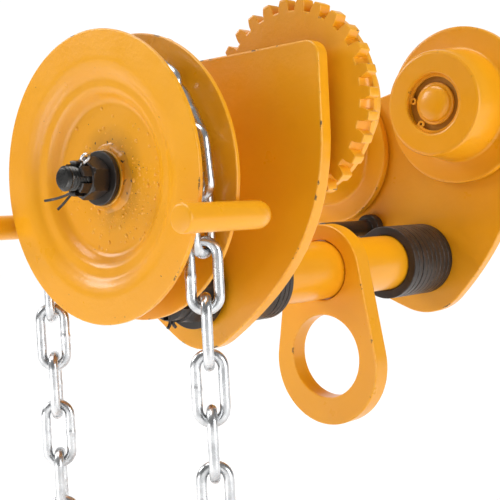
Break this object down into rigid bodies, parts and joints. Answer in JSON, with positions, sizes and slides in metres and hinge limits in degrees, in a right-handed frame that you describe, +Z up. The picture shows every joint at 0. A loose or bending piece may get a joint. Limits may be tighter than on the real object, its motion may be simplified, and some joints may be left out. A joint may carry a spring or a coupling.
{
  "type": "hand-geared beam trolley",
  "caption": "Hand-chain geared beam trolley: side plates on a load bar with an eye plate, flanged wheels and a chain-driven hand wheel.",
  "frame": {"origin": "midway between the two side plates and the two wheel axles, at the height of the beam surface that the geared wheels run on", "axes": "+Z up, X along the beam, Y across it; the hand wheel is at -Y"},
  "size_m": [0.2294, 0.3361, 0.3369],
  "materials": {
    "yellow_paint": "gloss",
    "black_steel": "satin",
    "bright_zinc": "polished",
    "bare_steel": "satin",
    "bronze": "satin"
  },
  "bodies": {
    "frame": {"drive_side_plate": "yellow_paint", "load_bar": "yellow_paint", "load_bar_nut_near": "black_steel", "load_bar_nut_far": "black_steel", "load_bar_pin_near": "bright_zinc", "load_bar_pin_far": "bright_zinc", "outer_washer_near": "black_steel", "outer_washer_far": "black_steel", "spacer_sleeve": "black_steel", "near_washer_1": "black_steel", "near_washer_2": "black_steel", "near_washer_3": "black_steel", "far_washer_1": "black_steel", "far_washer_2": "black_steel", "far_washer_3": "black_steel", "far_washer_4": "black_steel", "far_washer_5": "black_steel", "far_washer_6": "black_steel", "far_washer_7": "black_steel", "far_washer_8": "black_steel", "far_washer_9": "black_steel", "axle_drive_right": "yellow_paint", "axle_drive_left": "yellow_paint", "bearing_drive_right": "bare_steel", "bearing_drive_left": "bare_steel", "shaft_housing": "yellow_paint", "shaft_bush": "bronze", "chain_guide": "yellow_paint", "hand_chain_upper": "bright_zinc"},
    "far_frame": {"far_side_plate": "yellow_paint", "guide_stud": "black_steel", "axle_far_right": "yellow_paint", "axle_far_left": "yellow_paint", "bearing_far_right": "bare_steel", "bearing_far_left": "bare_steel"},
    "hand_wheel": {"drive_shaft": "black_steel", "pinion": "bare_steel", "pinion_clip": "black_steel", "hand_wheel_front": "yellow_paint", "hand_wheel_back": "yellow_paint", "hand_wheel_hub": "yellow_paint", "pocket_ring": "yellow_paint", "hub_key": "bare_steel", "shaft_washer": "black_steel", "shaft_nut": "black_steel", "shaft_pin": "bright_zinc"},
    "geared_right": {"geared_wheel_drive_right": "yellow_paint", "wheel_clip_drive_right": "yellow_paint"},
    "geared_left": {"geared_wheel_drive_left": "yellow_paint", "wheel_clip_drive_left": "yellow_paint"},
    "plain_right": {"plain_wheel_far_right": "yellow_paint", "wheel_clip_far_right": "yellow_paint"},
    "plain_left": {"plain_wheel_far_left": "yellow_paint", "wheel_clip_far_left": "yellow_paint"},
    "eye": {"eye_plate": "yellow_paint"},
    "chain_loop": {"hand_chain_loop_1": "bright_zinc", "hand_chain_loop_2": "bright_zinc", "hand_chain_loop_3": "bright_zinc", "hand_chain_loop_4": "bright_zinc", "hand_chain_loop_5": "bright_zinc"}
  },
  "joints": [
    {"name": "hand_wheel_spin", "type": "hinge", "parent": "frame", "child": "hand_wheel", "pos_m": [0, -0.1637, 0.0007], "axis": [0, 1, 0], "continuous": true},
    {"name": "geared_right_spin", "type": "hinge", "parent": "frame", "child": "geared_right", "pos_m": [0.05517, -0.085, 0.0346], "axis": [0, 1, 0], "continuous": true},
    {"name": "geared_left_spin", "type": "hinge", "parent": "frame", "child": "geared_left", "pos_m": [-0.05517, -0.085, 0.0346], "axis": [0, 1, 0], "continuous": true},
    {"name": "far_frame_swing", "type": "hinge", "parent": "frame", "child": "far_frame", "pos_m": [0, 0.108, -0.0555], "axis": [0, 1, 0], "range_deg": [-3, 14]},
    {"name": "plain_right_spin", "type": "hinge", "parent": "far_frame", "child": "plain_right", "pos_m": [0.03488, 0.085, 0.04422], "axis": [0, 1, 0], "continuous": true},
    {"name": "plain_left_spin", "type": "hinge", "parent": "far_frame", "child": "plain_left", "pos_m": [-0.07296, 0.085, 0.02091], "axis": [0, 1, 0], "continuous": true},
    {"name": "eye_plate_swing", "type": "hinge", "parent": "frame", "child": "eye", "pos_m": [0, -0.0016, -0.0555], "axis": [0, 1, 0], "range_deg": [-60, 60]},
    {"name": "hand_chain_swing", "type": "hinge", "parent": "frame", "child": "chain_loop", "pos_m": [0, -0.1637, -0.03752], "axis": [0.9982, 0, 0.0604], "range_deg": [-8, 8]}
  ],
  "couplings": [
    {"joint": "geared_right_spin", "follows": "hand_wheel_spin", "ratio": -0.32143},
    {"joint": "geared_left_spin", "follows": "hand_wheel_spin", "ratio": -0.32143}
  ]
}
